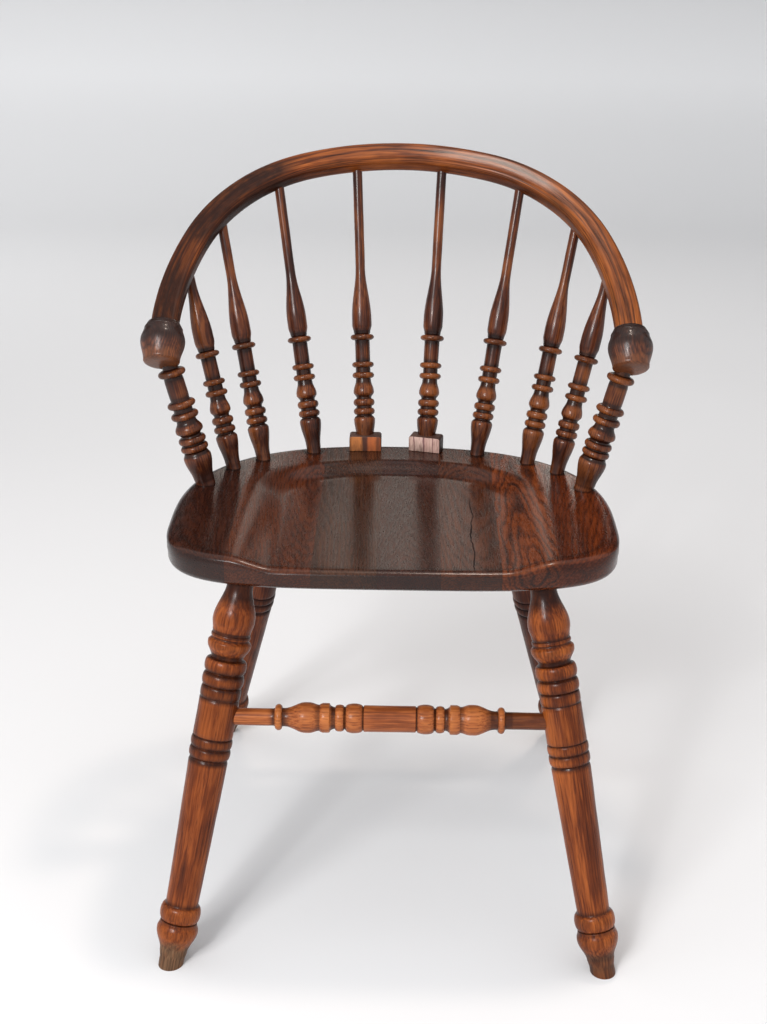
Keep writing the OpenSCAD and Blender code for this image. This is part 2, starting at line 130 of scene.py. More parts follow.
def oak(name, pale, mid, dark, ring_gap, ring_depth, wander, gloss, coat, pore_depth=0.7, pore_run=62,
        blotch=0.4, cloud_run=11, rub=0.3, smooth=0.27, bumps=0.4, relief_by=0.35, crack=None):
    """Stained and varnished oak. The grain attribute says where each point lay in the tree:
    Z runs up the trunk and the pith is the Z axis. The wear_and_painted_light attribute is above 0 where
    the stain is worn and where a highlight is painted, below 0 where dirt lies and where shade is
    painted, and bare is 1 where no varnish is left."""
    pale, mid, dark = (*pale, 1), (*mid, 1), (*dark, 1)
    material = bpy.data.materials.new(name)
    material.use_nodes = True
    tree = material.node_tree
    shader = tree.nodes["Principled BSDF"]
    place = link(tree, "Attribute", out=1, attribute_name="grain")
    wear_and_painted_light = link(tree, "Attribute", out=2, attribute_name="wear_and_painted_light")
    bare = link(tree, "Attribute", out=2, attribute_name="bare")

    # Growth rings about the pith, pushed about by a slow and a quick wander.
    slow = grainy(tree, place, 22, 4, 2)
    quick = grainy(tree, place, 130, 12, 2)
    flat = link(tree, "VectorMath", [place, (1, 1, 0)], operation="MULTIPLY")
    reach = link(tree, "VectorMath", [flat], out=1, operation="LENGTH")
    drift = add(tree, times(tree, slow, wander / ring_gap), times(tree, quick, 2.2 / ring_gap))
    rings = add(tree, times(tree, reach, 1 / (ring_gap * mm)), drift)
    phase = sums(tree, "FRACT", rings, 0)
    # Each ring is 1 in its open early wood and falls to 0 in its dense late wood.
    early = link(tree, "ValToRGB", [phase])
    ramp = early.node.color_ramp
    ramp.elements[0].color = (0.55, 0.55, 0.55, 1)
    ramp.elements[1].color = (0.45, 0.45, 0.45, 1)
    for at, tone in ((0.10, 1.0), (0.34, 0.55), (0.50, 0.10), (0.86, 0.0)):
        ramp.elements.new(at).color = (tone, tone, tone, 1)

    # Open pores: short dark strokes along the grain, thickest in the early wood.
    pores = span(tree, grainy(tree, place, 1250, pore_run, 2), 0.52, 0.64)
    pores = times(tree, pores, span(tree, early, 0.0, 1.0, 0.25, 1.0))
    fibre = grainy(tree, place, 480, 22, 3)
    cloud = grainy(tree, place, 34, cloud_run, 3, 0.6)

    # Three stains, pale to dark, by the fibres, the rings and large soft blotches.
    tone = add(tree, span(tree, fibre, 0.3, 0.7, 0.15, 0.9), times(tree, early, -ring_depth))
    tone = add(tree, tone, span(tree, cloud, 0.32, 0.68, -blotch, blotch))
    low_mix = blend_colour(tree, span(tree, tone, -0.35, 0.45), dark, mid)
    colour = blend_colour(tree, span(tree, tone, 0.35, 1.1), low_mix, pale)

    # Rubbed high places and painted highlights, then dirt, old polish and painted shade in the low ones.
    patch = grainy(tree, place, 160, 60, 4, 0.65)
    lightened = times(tree, span(tree, wear_and_painted_light, 0.05, 0.9), span(tree, patch, 0.3, 0.6, 0.35, 1.0))
    honey = (*(min(part * more, 1) for part, more in zip(pale, (1.25, 1.45, 1.3))), 1)
    colour = blend_colour(tree, times(tree, lightened, rub), colour, honey)
    dirt_and_shade = times(tree, span(tree, wear_and_painted_light, -0.08, -0.75), span(tree, patch, 0.25, 0.6, 0.7, 1.0))
    dirt_shade_and_pore_dark = (*(part * 0.45 for part in dark[:3]), 1)
    colour = blend_colour(tree, times(tree, dirt_and_shade, 0.95, True), colour, dirt_shade_and_pore_dark)
    colour = blend_colour(tree, times(tree, pores, pore_depth), colour, dirt_shade_and_pore_dark)

    # A hairline crack that wanders along the grain, given as its x and the y of its two ends.
    split_open = None
    if crack:
        at, start, end = crack
        here = link(tree, "TexCoord", out=3)
        x = link(tree, "SeparateXYZ", [here])
        y = x.node.outputs[1]
        wavy = link(tree, "TexNoise", {"Vector": here, "Scale": 16.0, "Detail": 4.0})
        off = add(tree, sums(tree, "SUBTRACT", x, at * mm), span(tree, wavy, 0.2, 0.8, -5 * mm, 5 * mm))
        split_open = span(tree, sums(tree, "ABSOLUTE", off, 0), 0.3 * mm, 0.9 * mm, 1, 0)
        split_open = times(tree, split_open, span(tree, y, start * mm, (start + 12) * mm))
        split_open = times(tree, split_open, span(tree, y, (end - 25) * mm, end * mm, 1, 0))
        colour = blend_colour(tree, split_open, colour, (0.004, 0.002, 0.002, 1))

    # Bare, scuffed wood at the feet.
    scuffed_dark, scuffed_pale = (0.060, 0.030, 0.016, 1), (0.175, 0.092, 0.048, 1)
    scuffed = blend_colour(tree, span(tree, fibre, 0.35, 0.65), scuffed_dark, scuffed_pale)
    stripped = times(tree, bare, span(tree, patch, 0.2, 0.5, 0.6, 1.0), True)
    colour = blend_colour(tree, stripped, colour, scuffed)
    tree.links.new(colour, shader.inputs["Base Color"])

    # Gloss: duller over the pores and the bare wood, and none in the crack.
    rough = add(tree, span(tree, fibre, 0.3, 0.7, smooth, smooth + 0.14), times(tree, pores, 0.18))
    rough = add(tree, rough, times(tree, stripped, 0.35), True)
    if split_open:
        rough = add(tree, rough, split_open, True)
        varnished = sums(tree, "SUBTRACT", 1, split_open)
        tree.links.new(times(tree, varnished, coat), shader.inputs["Coat Weight"])
    tree.links.new(rough, shader.inputs["Roughness"])
    shader.inputs["Specular IOR Level"].default_value = gloss
    shader.inputs["Coat Weight"].default_value = coat
    shader.inputs["Coat Roughness"].default_value = 0.15

    relief = add(tree, times(tree, pores, -0.7), times(tree, early, -0.25))
    relief = add(tree, relief, times(tree, fibre, 0.5))
    relief = add(tree, relief, times(tree, patch, bumps))
    bump = link(tree, "Bump", {"Strength": relief_by, "Distance": 0.6 * mm, "Height": relief})
    tree.links.new(bump, shader.inputs["Normal"])
    return material


def placed(work, name, *materials):
    """Turns a worked mesh into an object in the scene."""
    mesh = bpy.data.meshes.new(name)
    work.to_mesh(mesh)
    work.free()
    for material in materials:
        mesh.materials.append(material)
    made = bpy.data.objects.new(name, mesh)
    bpy.context.scene.collection.objects.link(made)
    return made


def finish_piece(work, name, node, slot, *materials):
    """Makes a smooth-shaded piece, sharp where it turns by more than 48 degrees, that stands for
    one node of the solid chair."""
    for edge in work.edges:
        if len(edge.link_faces) == 2 and edge.calc_face_angle() > math.radians(48):
            edge.smooth = False
    for face in work.faces:
        face.smooth = True
    piece = placed(work, name, *materials)
    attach(piece, "root")
    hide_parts(node)


def cut_off(work, place, kept):
    """Saws the mesh at place, keeps the side that kept points to, and gives the closing faces."""
    whole = list(work.verts) + list(work.edges) + list(work.faces)
    cut = bmesh.ops.bisect_plane(work, geom=whole, plane_co=place, plane_no=kept, clear_inner=True)
    ends = [e for e in cut["geom_cut"] if isinstance(e, bmesh.types.BMEdge)]
    return bmesh.ops.holes_fill(work, edges=ends)["faces"] if ends else []


arris_in, arris_drop = 9, 5.5
brim_drop, brim_rise = 14, 15
under_in, under_round = 0.6, 11
skin_middle_y = -15
round_steps, top_rings, under_rings = 8, 46, 9


def seat_skin():
    """The whole seat as one closed skin: rings drawn in from the rim, over and under."""
    work = bmesh.new()
    turn = work.verts.layers.float.new("turn")
    inward = work.verts.layers.float.new("inward")
    bmesh.ops.create_circle(work, segments=288, radius=1)
    for v in work.verts:
        v[turn] = math.atan2(v.co.y, v.co.x)

    def lay(made, inset, share, height):
        for v in made:
            if isinstance(v, bmesh.types.BMVert):
                x, y = rim(v[turn], inset)
                x, y = x * share, (y - skin_middle_y) * share + skin_middle_y
                v[inward] = inset + (1 - share) * 200
                v.co = (x, y, height(x, y))

    def next_ring(edges, inset, share, height):
        made = bmesh.ops.extrude_edge_only(work, edges=edges)["geom"]
        lay(made, inset, share, height)
        return [e for e in made if isinstance(e, bmesh.types.BMEdge) and e.is_boundary]

    def close(edges):
        ends = {v for e in edges for v in e.verts}
        middle = sum((v.co for v in ends), Vector()) / len(ends)
        bmesh.ops.pointmerge(work, verts=list(ends), merge_co=middle)

    def top(drop):
        return lambda x, y: seat_top - hollow_depth(x, y) - drop

    def under(rise):
        return lambda x, y: seat_under + rise

    turns = [math.radians(90 * step / round_steps) for step in range(1, round_steps + 1)]
    lay(work.verts, 0.0, 1.0, lambda x, y: seat_top - brim_drop)
    brim = list(work.edges)
    edges = brim
    for a in turns:
        edges = next_ring(edges, arris_in * (1 - math.cos(a)), 1.0, top(arris_drop * (1 - math.sin(a))))
    for step in range(1, top_rings):
        edges = next_ring(edges, arris_in, 1 - step / top_rings, top(0))
    close(edges)
    edges = next_ring(brim, under_in, 1.0, under(brim_rise))
    for a in turns:
        inset = under_in + under_round * (1 - math.cos(a))
        edges = next_ring(edges, inset, 1.0, under(under_round * (1 - math.sin(a))))
    for step in range(1, under_rings):
        edges = next_ring(edges, under_in + under_round, 1 - step / under_rings, under(0))
    close(edges)
    bmesh.ops.recalc_face_normals(work, faces=work.faces)
    return work


# Turns, in degrees, at which the posts and the spindles stand on the rim, and how far in.
spindle_turns = (37.4, 51.3, 69.9, 84.4)
post_turn = 20
foot_in = 15
seat_feet = [rim(math.radians(turn), foot_in) for turn in (post_turn, *spindle_turns[:3])]
seat_feet += [(-x, y) for x, y in seat_feet]


def seat_wear_and_painted_light(x, y, z, inward):
    """Worn and painted lighter as a highlight on the front arris and the lip of the hollow, painted
    darker as a reflection just behind the front arris, darker on the rim's sides and underside, and with
    dirt round the feet.
    """
    depth = hollow_depth(x, y)
    drop = seat_top - depth - z
    if drop > 2.5:
        return -0.4 if drop < brim_drop else -0.3
    # The lip and the front arris are worn and also painted lighter as highlights; a band just behind the
    # front arris is painted dark as a reflection.
    lip_rub_and_highlight = 0.22 * math.exp(-((depth - 2) / 1.5) ** 2)
    front_arris_rub_and_highlight = 0.75 * ease((-y - 120) / 50) * ease((drop - 0.1) / 0.5) * (1 - ease((drop - 2) / 2))
    painted_reflection_behind_arris = 0.55 * ease((-y - 60) / 90) * ease((inward - 8.5) / 2) * (1 - ease((inward - 13) / 5))
    nearest = min(math.hypot(x - foot_x, y - foot_y) for foot_x, foot_y in seat_feet)
    return lip_rub_and_highlight + front_arris_rub_and_highlight - painted_reflection_behind_arris - 0.9 * ease((19 - nearest) / 9) * (drop < 3)


# The seams' places from left to right, with the two outer ones past the seat's sides.
seams = (-260, -170, -82, -15, 50, 112, 170, 260)
seam_gap = 0.03
varnish = dict(gloss=0.2, coat=0.3, smooth=0.2, bumps=0.04, pore_depth=0.5, cloud_run=4, relief_by=0.14)
worn_varnish = dict(varnish, gloss=0.17, coat=0.25)
walnut = oak("seat oak dark", (0.054, 0.013, 0.005), (0.023, 0.005, 0.002), (0.009, 0.002, 0.001),
             ring_gap=2.2, ring_depth=0.35, wander=16, blotch=0.25, **varnish)
russet = oak("seat oak red", (0.110, 0.025, 0.006), (0.048, 0.009, 0.002), (0.013, 0.003, 0.001),
             ring_gap=2.6, ring_depth=0.35, wander=16, blotch=0.3, **varnish)
amber = oak("seat oak amber", (0.140, 0.027, 0.005), (0.060, 0.010, 0.002), (0.015, 0.003, 0.001),
            ring_gap=2.8, ring_depth=0.4, wander=20, blotch=0.35, **worn_varnish)
figured = oak("seat oak figured", (0.190, 0.043, 0.009), (0.100, 0.020, 0.004), (0.016, 0.003, 0.001),
              ring_gap=5.5, ring_depth=0.6, wander=34, blotch=0.3, **worn_varnish)
umber = oak("seat oak brown", (0.070, 0.022, 0.008), (0.032, 0.009, 0.003), (0.010, 0.003, 0.001),
            ring_gap=2.6, ring_depth=0.4, wander=16, blotch=0.25, **varnish)
split = oak("seat oak split", (0.088, 0.022, 0.006), (0.038, 0.008, 0.002), (0.011, 0.003, 0.001),
            ring_gap=2.6, ring_depth=0.4, wander=16, blotch=0.25, crack=(84, -190, 20), **varnish)
# Each board: its wood and finish, how far below and beside it the heart of its tree lay, how many
# degrees its rings lean, and how fast they rise towards the back.
boards = ((walnut, "oak_dark", 70, 10, 8, 0.05), (russet, "oak_dark", 62, -22, -14, -0.1),
          (umber, "oak_red", 60, 20, 20, 0.04), (walnut, "oak_dark", 48, 5, -6, 0.12),
          (split, "oak_red", 75, -30, 12, -0.06), (figured, "oak_warm", 27, -6, 10, 0.12),
          (amber, "oak_warm", 85, -12, -18, 0.08))
for index, (wood, slot, below, beside, tilt, rise) in enumerate(boards):
    low, high = seams[index], seams[index + 1]
    board = seat_skin()
    cut_off(board, (low + seam_gap, 0, 0), (1, 0, 0))
    cut_off(board, (high - seam_gap, 0, 0), (-1, 0, 0))
    grain = board.verts.layers.float_vector.new("grain")
    wear_and_painted_light = board.verts.layers.float.new("wear_and_painted_light")
    inward = board.verts.layers.float["inward"]
    middle = (max(low, -seat_half) + min(high, seat_half)) / 2
    lean = math.radians(tilt)
    for v in board.verts:
        x, y, z = v.co
        across, up = x - middle, z - seat_top
        v[grain] = Vector((across * math.cos(lean) - up * math.sin(lean) + beside,
                           across * math.sin(lean) + up * math.cos(lean) + below + rise * y,
                           y + 700 * index)) * mm
        v[wear_and_painted_light] = seat_wear_and_painted_light(x, y, z, v[inward])
    bmesh.ops.scale(board, vec=(mm, mm, mm), verts=board.verts)
    bmesh.ops.recalc_face_normals(board, faces=board.faces)
    finish_piece(board, f"board_{index + 1}", f"seat_board_{index + 1}", slot, wood)


# ---- Legs ----
# Four turned oak legs with tenons glued into blind sockets under the seat. Rings and bulbs are
# worn on their crests and dark in the grooves, as dirt and painted shade; the tops under the seat are
# painted darker as shade, the back legs take a darker shaded oak, and the feet are scuffed to bare wood.

def bead(s0, s1, edge, crest, count=9):
    """Half an ellipse between two grooves, as stations along the axis and radii."""
    return [((s0 + s1) / 2 - (s1 - s0) / 2 * math.cos(math.pi * k / count),
             edge + (crest - edge) * math.sin(math.pi * k / count)) for k in range(count + 1)]


def sweep(s0, r0, s1, r1, count=9):
    """A smooth change of radius that starts and ends parallel to the axis."""
    return [(s0 + (s1 - s0) * k / count, r0 + (r1 - r0) * (1 - math.cos(math.pi * k / count)) / 2)
            for k in range(count + 1)]


def divided(profile, longest=4.0):
    """The same profile with its long straight stretches divided."""
    points = [profile[0]]
    for s, r in profile[1:]:
        s0, r0 = points[-1]
        count = max(1, math.ceil(math.hypot(s - s0, r - r0) / longest))
        points += [(s0 + (s - s0) * k / count, r0 + (r - r0) * k / count) for k in range(1, count + 1)]
    return points


def radius_at(profile, station):
    """The profile's radius at a station along the axis."""
    if station < profile[0][0]:
        return profile[0][1]
    for (s0, r0), (s1, r1) in zip(profile, profile[1:]):
        if s0 <= station <= s1:
            return r0 if s1 == s0 else r0 + (r1 - r0) * (station - s0) / (s1 - s0)
    return profile[-2][1]


out_of_round = 0.25
nick_depth = 1.1


def turned(profile, steps, heart, twist, seed):
    """Spins a profile about Z. heart is how far the piece stood from the pith of its tree, twist
    how it was turned there, and seed sets its own wobble, nicks and grain."""
    work = bmesh.new()
    grain = work.verts.layers.float_vector.new("grain")
    wear_and_painted_light = work.verts.layers.float.new("wear_and_painted_light")
    work.verts.layers.float.new("bare")
    points = divided(profile)
    outer = points[1:-1]
    first, last = points[0][0] + 4, points[-1][0] - 4
    line = []
    for s, r in points:
        v = work.verts.new((r, 0, s))
        line.append(v)
        if first < s < last:
            # A crest stands out past the radii beside it, and a groove lies behind them. Crests get
            # lighter wear, and grooves are darkened as dirt and painted shade.
            beside = [radius_at(outer, s + step) for step in (-7, -5, -3, -1.5, 1.5, 3, 5, 7)]
            v[wear_and_painted_light] = min(max((r - sum(beside) / len(beside)) / 2.2, -1), 1)
    spine = [work.edges.new(two) for two in zip(line, line[1:])]
    bmesh.ops.spin(work, geom=line + spine, cent=(0, 0, 0), axis=(0, 0, 1), angle=2 * math.pi,
                   steps=steps, use_merge=True)
    bmesh.ops.remove_doubles(work, verts=work.verts, dist=1e-4)
    for v in work.verts:
        out = Vector((v.co.x, v.co.y, 0))
        if out.length > 1:
            wobble = noise.noise(Vector((v.co.x / 18, v.co.y / 18, v.co.z / 26 + seed)))
            nick = max(0, noise.noise(Vector((v.co.x / 5, v.co.y / 5, v.co.z / 5 + seed * 7))) - 0.35)
            v.co += out.normalized() * (wobble * out_of_round - nick * nick_depth * max(v[wear_and_painted_light], 0))
        x, y = v.co.x, v.co.y
        v[grain] = Vector((x * math.cos(twist) - y * math.sin(twist) + heart,
                           x * math.sin(twist) + y * math.cos(twist), v.co.z + seed * 311)) * mm
    bmesh.ops.recalc_face_normals(work, faces=work.faces)
    return work


def set_between(work, start, end):
    """Lays a turned piece's axis on the line from start to end, and makes it metres."""
    start, end = Vector(start), Vector(end)
    turn = (end - start).to_track_quat("Z", "X").to_matrix().to_4x4()
    place = Matrix.Scale(mm, 4) @ Matrix.Translation(start) @ turn
    bmesh.ops.transform(work, matrix=place, verts=work.verts)


def leg_profile(length):
    end = length + 12
    return ([(-5, 0), (-5, 13), (6, 13)] + sweep(9, 13.6, 46, 22, 14) + sweep(47, 22, 59, 20, 8)
            + [(61, 19.4)] + bead(61.5, 65.5, 19.6, 20.6, 6)
            + sweep(66, 19.6, 71, 22.8, 7) + sweep(73, 22.6, 87.5, 16.6, 12)
            + bead(88.5, 103, 19, 22) + bead(104, 117.3, 19.4, 22) + bead(118.2, 130, 20.2, 21.3, 7)
            + [(130.8, 20.2), (131.6, 21), (171.4, 21), (172.2, 20.2)]
            + bead(172.8, 183.5, 20.2, 21.8, 8) + bead(184.3, 195, 20.2, 21.8, 8)
            + [(196.2, 19.5), (198, 20.3), (200, 20.8), (215, 20.4), (length - 69, 17.2)]
            + bead(length - 67.5, length - 50, 18.2, 21.7) + [(length - 49, 19.6)]
            + sweep(length - 48.5, 19.8, length - 40.5, 22, 8)
            + sweep(length - 39.5, 22, length - 15, 14.6, 10)
            + [(length - 8, 13.2), (end, 13), (end, 0)])


chestnut = oak("leg oak", (0.310, 0.078, 0.016), (0.150, 0.031, 0.006), (0.045, 0.009, 0.003),
               ring_gap=2.8, ring_depth=0.15, wander=6, gloss=0.1, coat=0.14, pore_depth=0.55)
russet_leg = oak("leg oak deep", (0.350, 0.090, 0.018), (0.145, 0.030, 0.006), (0.036, 0.007, 0.003),
                 ring_gap=2.8, ring_depth=0.18, wander=8, gloss=0.1, coat=0.16, pore_depth=0.55,
                 blotch=0.6, cloud_run=5)
# A darker copy of the leg oak for the back legs and the back stretcher: painted shade under the seat.
shaded_leg = oak("leg oak painted shade", (0.200, 0.054, 0.018), (0.085, 0.020, 0.009), (0.024, 0.006, 0.004),
                 ring_gap=2.8, ring_depth=0.2, wander=8, gloss=0.1, coat=0.12, blotch=0.5)
front_x, front_y = rim(math.radians(-56.6), 30)
back_x, back_y = rim(math.radians(57.3), 26)
leg_ends = {"front": ((front_x, front_y), (front_x + 75, front_y - 104.5)),
            "back": ((back_x, back_y), (back_x + 95, back_y + 132))}
ring_groups = ((58, 64), (87, 132), (172, 202))
drum = (132, 172)
for row, (leg_top, leg_foot) in leg_ends.items():
    for hand, side in (("left", -1), ("right", 1)):
        start = Vector((side * leg_top[0], leg_top[1], seat_under))
        end = Vector((side * leg_foot[0], leg_foot[1], 0))
        length = (end - start).length
        seed = 3.1 * side + (7.7 if row == "back" else 0)
        leg = turned(leg_profile(length), 64, 34 + 9 * side, 1.2 + side, seed)
        bare = leg.verts.layers.float["bare"]
        wear_and_painted_light = leg.verts.layers.float["wear_and_painted_light"]
        # The right front foot is the only one that has kept most of its varnish.
        scuffed = 0.3 if (row, hand) == ("front", "right") else 1.0
        grime = 0.65 if hand == "left" else 0.4
        for v in leg.verts:
            station = v.co.z
            tip = ease((station - length + 34 + 9 * noise.noise(v.co / 14)) / 14)
            v[bare] = scuffed * tip
            # The top of each leg, just under the seat, is painted darker as shade, and the right front
            # foot's varnished tip is darker.
            v[wear_and_painted_light] += -0.7 * (1 - ease((station - 18) / 22)) - (1 - scuffed) * 0.6 * tip
            v[wear_and_painted_light] -= grime * any(low < station < high for low, high in ring_groups)
            v[wear_and_painted_light] -= 0.2 * (drum[0] <= station <= drum[1])
        set_between(leg, start, end)
        sole = cut_off(leg, (0, 0, 0), (0, 0, 1))
        bmesh.ops.bevel(leg, geom=[e for f in sole for e in f.edges], offset=3 * mm, offset_type="OFFSET",
                        segments=4, profile=0.5, affect="EDGES", material=-1, clamp_overlap=True)
        bmesh.ops.dissolve_degenerate(leg, dist=1e-6, edges=leg.edges)
        wood = shaded_leg if row == "back" else chestnut if hand == "left" else russet_leg
        finish_piece(leg, f"leg_{row}_{hand}_turned", f"leg_{row}_{hand}", "oak_warm", wood)


# ---- Stretchers ----
# Turned oak rods tenoned into the legs' drums: a rich one in front, with a plain drum in the
# middle, and a plain one at the back.

def drum_middle(row):
    """The middle of the right leg's drum, where the stretcher's tenon goes in."""
    top, foot = leg_ends[row]
    start, end = Vector((*top, seat_under)), Vector((*foot, 0))
    return start + (end - start).normalized() * 151


def mirrored(half):
    """A profile and its mirror image about station 0."""
    return [(-s, r) for s, r in reversed(half)] + half


tenon_short = 12
joint = drum_middle("front")
tenon_end = joint.x - tenon_short
half = ([(26.7, 13.8), (27.6, 12.4)] + bead(28.2, 46, 12.4, 15.5) + bead(47.5, 57.2, 11.5, 14.2, 8)
        + [(58, 11.4), (60, 12), (62, 13.4), (63, 15.3), (64, 15.5), (70, 15.5), (73, 14.2)]
        + sweep(73.4, 13.6, 84, 16, 8) + sweep(88, 16, 110, 9.6, 12) + bead(112.2, 120, 9.8, 13.8, 8)
        + [(121.5, 9), (tenon_end, 9), (tenon_end, 0)])
rail = turned(mirrored(half), 48, 26, 0.4, 21.0)
wear_and_painted_light = rail.verts.layers.float["wear_and_painted_light"]
# The right end of the front stretcher is painted darker as shade.
for v in rail.verts:
    v[wear_and_painted_light] -= 0.6 * ease((v.co.z - 92) / 22)
set_between(rail, (0, joint.y, joint.z), (1, joint.y, joint.z))
honeyed = oak("stretcher oak", (0.480, 0.150, 0.042), (0.260, 0.066, 0.018), (0.085, 0.020, 0.008),
              ring_gap=2.8, ring_depth=0.2, wander=6, gloss=0.14, coat=0.16, pore_depth=0.55)
finish_piece(rail, "stretcher_front_turned", "stretcher_front", "oak_warm", honeyed)

joint = drum_middle("back")
tenon_end = joint.x - tenon_short
half = [(0, 12.5)] + sweep(20, 12.5, joint.x - 35, 9, 20) + [(tenon_end, 9), (tenon_end, 0)]
rail = turned(mirrored(half), 40, 30, 1.4, 25.0)
set_between(rail, (0, joint.y, joint.z), (1, joint.y, joint.z))
# The back stretcher takes the darker leg oak, as painted shade.
finish_piece(rail, "stretcher_back_turned", "stretcher_back", "oak_warm", shaded_leg)


# ---- Bow ----
# One oak bar, steamed and bent in a single flat curve, that makes the back rail and both arms.
# Its grain follows the bend. Rubbed on its corners, and painted darker along its underside as shade.

bow_tilt = math.radians(38.3)
arm_y = 39.6
bow_z = seat_top + 159
bow_reach = 274.2
bar_wide, bar_thick, bar_corner = 30, 22, 7
crown_end, shoulder_end, arm_end = math.radians(17), math.radians(67), math.pi / 2
crown_radius, shoulder_radius, arm_radius = 367.0, 193.5, 355.0


def ray(turn):
    return Vector((math.sin(turn), math.cos(turn)))


# The right half's three arcs, as centres and radii, each going on from the end of the last.
arcs = [(Vector((0, bow_reach - crown_radius)), crown_radius)]
for bend_end, next_radius in ((crown_end, shoulder_radius), (shoulder_end, arm_radius)):
    centre, radius = arcs[-1]
    arcs.append((centre + (radius - next_radius) * ray(bend_end), next_radius))
knob_x = arcs[2][0].x + arcs[2][1]
in_bow_plane = Matrix.Translation((0, arm_y, bow_z)) @ Matrix.Rotation(bow_tilt, 4, "X")


def bow_place(turn):
    """The point on the bar's middle line at a turn from the crown, on the right half."""
    centre, radius = arcs[0] if turn < crown_end else arcs[1] if turn < shoulder_end else arcs[2]
    return in_bow_plane @ Vector((*(centre + radius * ray(turn)), 0))


bar = bmesh.new()
bmesh.ops.create_grid(bar, x_segments=1, y_segments=1, size=0.5)
bmesh.ops.scale(bar, vec=(bar_wide, bar_thick, 1), verts=bar.verts)
bmesh.ops.bevel(bar, geom=list(bar.verts), offset=bar_corner, offset_type="OFFSET", segments=6,
                profile=0.5, affect="VERTICES", material=-1)
bmesh.ops.subdivide_edges(bar, edges=[e for e in bar.edges if e.calc_length() > 5], cuts=3)

# The section stands at the left arm's end, square to the bar, and is spun from arc to arc.
left_centres = [Vector((-centre.x, centre.y)) for centre, radius in arcs]
arm_place = left_centres[2] - Vector((arm_radius, 0))
stand = Matrix(((-1, 0, 0, arm_place.x), (0, 0, 1, arm_place.y), (0, 1, 0, 0), (0, 0, 0, 1)))
bmesh.ops.transform(bar, matrix=stand, verts=bar.verts)
geom = list(bar.faces) + list(bar.edges) + list(bar.verts)
spins = ((left_centres[2], arm_end - shoulder_end, 34), (left_centres[1], shoulder_end - crown_end, 60),
         (arcs[0][0], 2 * crown_end, 64),
         (arcs[1][0], shoulder_end - crown_end, 60), (arcs[2][0], arm_end - shoulder_end, 34))
for about, angle, steps in spins:
    geom = bmesh.ops.spin(bar, geom=geom, cent=(*about, 0), axis=(0, 0, 1), angle=-angle, steps=steps,
                          use_merge=False)["geom_last"]
bmesh.ops.remove_doubles(bar, verts=bar.verts, dist=1e-3)
knob_half = 24
cut_off(bar, (0, knob_half - 7, 0), (0, 1, 0))
grain = bar.verts.layers.float_vector.new("grain")
wear_and_painted_light = bar.verts.layers.float.new("wear_and_painted_light")
for v in bar.verts:
    # run is how far along the bar a point lies from the crown, and out and up place it in the section.
    flat = Vector((abs(v.co.x), v.co.y))
    side = 1 if v.co.x >= 0 else -1
    run = 0.0
    for (centre, radius), start, end in zip(arcs, (0, crown_end, shoulder_end),
                                            (crown_end, shoulder_end, arm_end)):
        turn = math.atan2(flat.x - centre.x, flat.y - centre.y)
        if turn <= end + 1e-6 or end == arm_end:
            out = (flat - centre).length - radius
            run += (turn - start) * radius
            break
        run += (end - start) * radius
    up = v.co.z
    v[grain] = Vector((out + 8, up + 46, run * side + 2600)) * mm
    corner = min(abs(out) / (bar_wide / 2), 1) * min(abs(up) / (bar_thick / 2), 1)
    # Corners are lighter as wear; the underside is painted darker as shade.
    v[wear_and_painted_light] = 0.4 * ease((corner - 0.45) / 0.4) - 0.2 * (up < -8)
    if side < 0:
        paler = 0.4 * ease((run - 270) / 30) - 0.4 * ease((run - 320) / 40)
        v[wear_and_painted_light] -= 0.9 * ease((run - 100) / 60) * (1 - paler)
    else:
        v[wear_and_painted_light] += 0.3 * ease((run - 120) / 80)
    v.co.z += 0.35 * noise.noise(Vector((run * side / 60, out / 20, up / 20)))
bmesh.ops.transform(bar, matrix=Matrix.Scale(mm, 4) @ in_bow_plane, verts=bar.verts)
bmesh.ops.recalc_face_normals(bar, faces=bar.faces)
hazel = oak("bow oak", (0.340, 0.094, 0.017), (0.150, 0.034, 0.007), (0.032, 0.007, 0.002), ring_gap=1.5,
            ring_depth=0.7, wander=3, gloss=0.12, coat=0.14, blotch=0.45, pore_depth=1.0, pore_run=24)
finish_piece(bar, "bow_bent", "bow", "oak_worn", hazel)


# ---- Hand knobs ----
# Turned oak knobs that end the arms. The bow's tenon goes into one face and the post's into the
# underside. Dark on top from handling, rubbed at the blunt front end.

mahogany = oak("knob oak", (0.230, 0.066, 0.022), (0.080, 0.023, 0.011), (0.026, 0.008, 0.005),
               ring_gap=2.4, ring_depth=0.5, wander=3, gloss=0.25, coat=0.2, smooth=0.32, rub=0.5)
knob_profile = ([(0, 0), (0, 16.4), (0.6, 17.8), (2.6, 18.8), (3.1, 18.5), (3.6, 19.3), (5.4, 20.3),
                 (5.9, 20.1), (6.4, 20.9)] + sweep(7, 21.2, 21, 24.6, 9) + sweep(22, 24.7, 45.6, 20.2, 12)
                + [(46.6, 19.5), (47.4, 18.2), (48.0, 16.2), (48.4, 13), (48.6, 8), (48.7, 0)])
droop = bow_tilt + 0.2
half_axis = Vector((0, math.cos(droop), math.sin(droop))) * knob_half
for hand, side in (("left", -1), ("right", 1)):
    knob = turned(knob_profile, 56, 60, 0.8 * side, 31.0 + side)
    wear_and_painted_light = knob.verts.layers.float["wear_and_painted_light"]
    for v in knob.verts:
        lightened = ease((v.co.z - 33 + 5 * noise.noise(v.co / 7)) / 9)
        handled = ease((34 + 4 * noise.noise(v.co / 9) - v.co.z) / 13)
        v[wear_and_painted_light] = 0.6 * lightened - 0.72 * handled
    middle = Vector((side * knob_x, arm_y, bow_z))
    set_between(knob, middle + half_axis, middle - half_axis)
    finish_piece(knob, f"hand_knob_{hand}_turned", f"hand_knob_{hand}", "oak_worn", mahogany)


